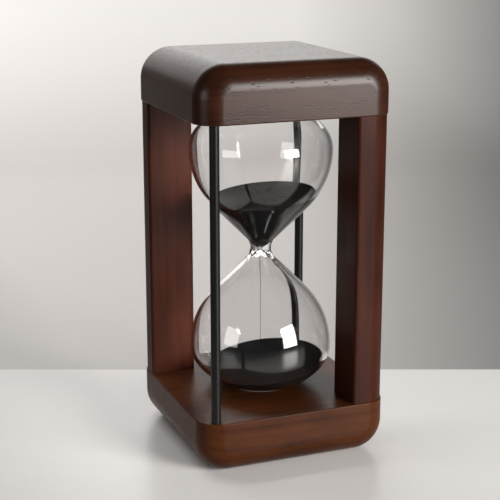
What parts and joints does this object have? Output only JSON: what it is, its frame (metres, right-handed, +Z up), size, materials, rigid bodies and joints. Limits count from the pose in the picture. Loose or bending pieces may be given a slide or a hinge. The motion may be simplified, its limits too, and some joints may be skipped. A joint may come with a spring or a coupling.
{
  "type": "hourglass",
  "caption": "Hourglass with black sand in a clear blown glass, held between two rounded dark wood blocks by wooden posts and thin black rods in opposite corners.",
  "frame": {"origin": "middle of the flat underside of the base block", "axes": "+Z up along the glass's axis, +X to the right and +Y to the back when the front is seen with the thin rod at the front left"},
  "size_m": [0.11, 0.11, 0.22],
  "materials": {
    "walnut": "dark red-brown stain under a satin lacquer, fine straight grain with small open pores",
    "beech": "plain unfinished dowel",
    "black_steel": "satin black powder coat",
    "glass": "clear, fire polished",
    "sand": "very fine black grains, matt",
    "felt": "black pressed felt",
    "rubber": "matt grey-black"
  },
  "bodies": {
    "root": {"base_block": "walnut", "top_block": "walnut", "rear_left_post": "walnut", "front_right_post": "walnut", "rear_left_lower_dowel_1": "beech", "rear_left_lower_dowel_2": "beech", "rear_left_upper_dowel_1": "beech", "rear_left_upper_dowel_2": "beech", "front_right_lower_dowel_1": "beech", "front_right_lower_dowel_2": "beech", "front_right_upper_dowel_1": "beech", "front_right_upper_dowel_2": "beech", "front_left_rod": "black_steel", "rear_right_rod": "black_steel", "lower_seat_pad": "felt", "upper_seat_pad": "felt", "glass_vessel": "glass", "filler_plug": "rubber", "upper_sand": "sand", "lower_sand": "sand", "sand_stream": "sand"}
  },
  "joints": []
}
